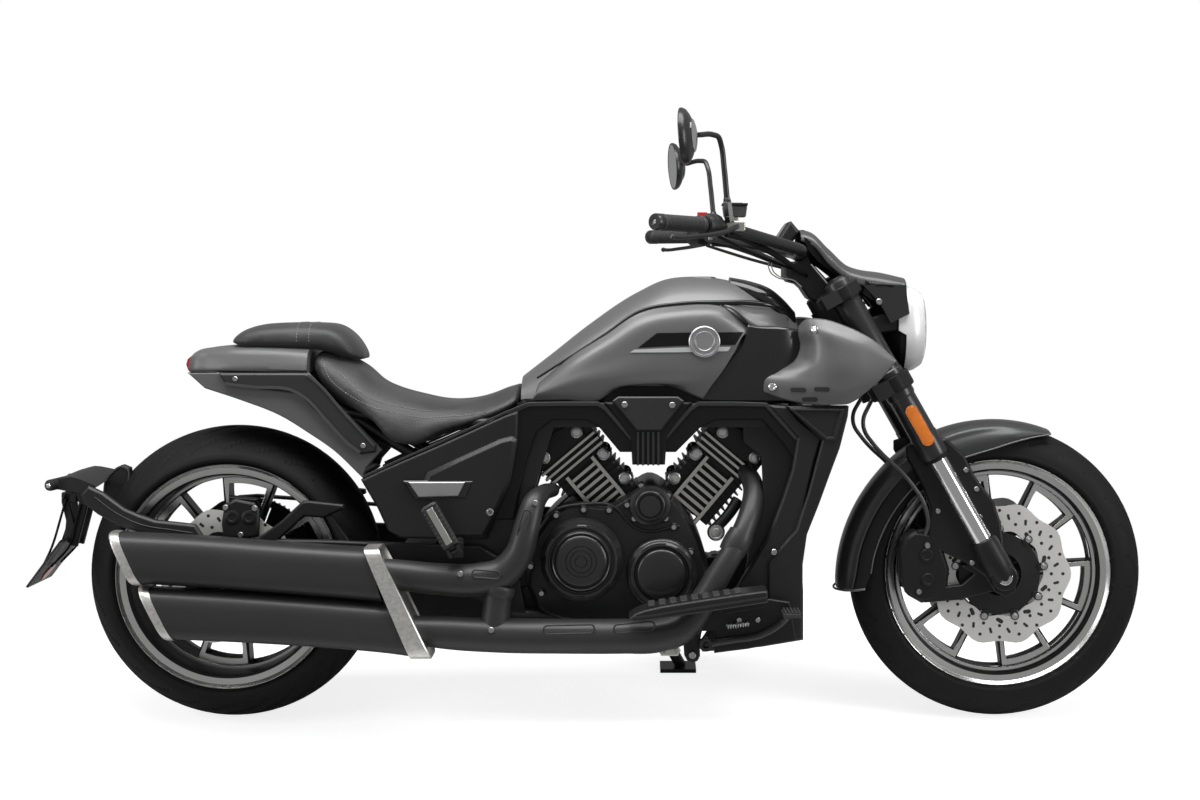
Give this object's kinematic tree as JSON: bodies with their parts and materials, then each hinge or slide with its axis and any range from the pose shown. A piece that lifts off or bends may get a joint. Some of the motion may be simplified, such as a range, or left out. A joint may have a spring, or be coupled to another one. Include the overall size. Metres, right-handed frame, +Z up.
{
  "type": "cruiser motorcycle",
  "caption": "Cruiser motorcycle with an open V-twin engine, belt drive, raked fork and stacked silencers, parked leaning on its side stand.",
  "frame": {"origin": "on the ground under the middle of the bounding box", "axes": "X forward along the machine, Y to the rider's left, Z up; the machine leans 8.5 degrees to the left on its side stand"},
  "size_m": [2.419, 0.9562, 1.3388],
  "materials": {
    "satin_paint": "satin",
    "dark_paint": "matte",
    "black_frame": "satin",
    "black_plastic": "matte",
    "engine_black": "painted satin",
    "polished_alloy": "polished",
    "chrome_steel": "polished",
    "disc_steel": "ground",
    "dark_steel": "satin",
    "rubber": "matte",
    "tyre": "matte",
    "seat_leather": "grained",
    "red_lamp": "gloss"
  },
  "bodies": {
    "chassis": {"crankcase": "engine_black", "cylinders": "engine_black", "drive_belt": "black_plastic", "engine_covers": "engine_black", "exhaust_pipes": "dark_paint", "foot_controls": "polished_alloy", "footboards": "dark_steel", "frame_covers": "black_plastic", "fuel_tank": "satin_paint", "main_frame": "black_frame", "pillion_pad": "seat_leather", "plate_holder": "black_frame", "radiator": "engine_black", "radiator_covers": "black_plastic", "rear_axle": "polished_alloy", "rear_caliper": "dark_steel", "rear_fender": "dark_paint", "rider_seat": "seat_leather", "side_covers": "black_plastic", "silencers": "dark_paint", "swingarm": "black_frame", "tail_cowl": "dark_paint", "tail_lamp": "red_lamp", "tank_panels": "satin_paint", "tank_scoops": "satin_paint"},
    "steering": {"fork_clamps": "black_frame", "fork_outer_tubes": "polished_alloy", "fork_stanchions": "chrome_steel", "fork_feet": "black_frame", "front_calipers": "dark_steel", "front_axle": "polished_alloy", "front_mudguard": "satin_paint", "handlebar": "dark_steel", "grips": "rubber", "bar_controls": "black_plastic", "mirrors": "dark_steel", "bar_riser": "polished_alloy", "headlight_cowl": "dark_paint", "headlight": "polished_alloy", "front_brake_hoses": "rubber"},
    "front_wheel": {"front_tyre": "tyre", "front_rim": "polished_alloy", "front_discs": "disc_steel"},
    "rear_wheel": {"rear_tyre": "tyre", "rear_rim": "polished_alloy", "rear_disc": "disc_steel", "rear_pulley": "polished_alloy"},
    "stand": {"side_stand": "dark_steel"},
    "peg_right": {"passenger_peg_right": "rubber"},
    "peg_left": {"passenger_peg_left": "rubber"}
  },
  "joints": [
    {"name": "steer", "type": "hinge", "parent": "chassis", "child": "steering", "pos_m": [0.56757, -0.04523, 0.80114], "axis": [-0.4924, 0.1286, 0.8608], "range_deg": [-35, 35]},
    {"name": "front_wheel_spin", "type": "hinge", "parent": "steering", "child": "front_wheel", "pos_m": [0.8915, -0.11785, 0.31522], "axis": [0, 0.989, -0.1478], "continuous": true},
    {"name": "rear_wheel_spin", "type": "hinge", "parent": "chassis", "child": "rear_wheel", "pos_m": [-0.7685, -0.11786, 0.31516], "axis": [0, 0.989, -0.1478], "continuous": true},
    {"name": "stand_fold", "type": "hinge", "parent": "chassis", "child": "stand", "pos_m": [0.1365, 0.0138, 0.18129], "axis": [0.0931, 0.8269, 0.5546], "range_deg": [0, 100]},
    {"name": "peg_right_fold", "type": "hinge", "parent": "chassis", "child": "peg_right", "pos_m": [-0.2695, -0.35615, 0.42566], "axis": [0.866, 0.0739, 0.4945], "range_deg": [0, 90]},
    {"name": "peg_left_fold", "type": "hinge", "parent": "chassis", "child": "peg_left", "pos_m": [-0.2695, 0.14232, 0.35116], "axis": [-0.866, -0.0739, -0.4945], "range_deg": [0, 90]}
  ]
}
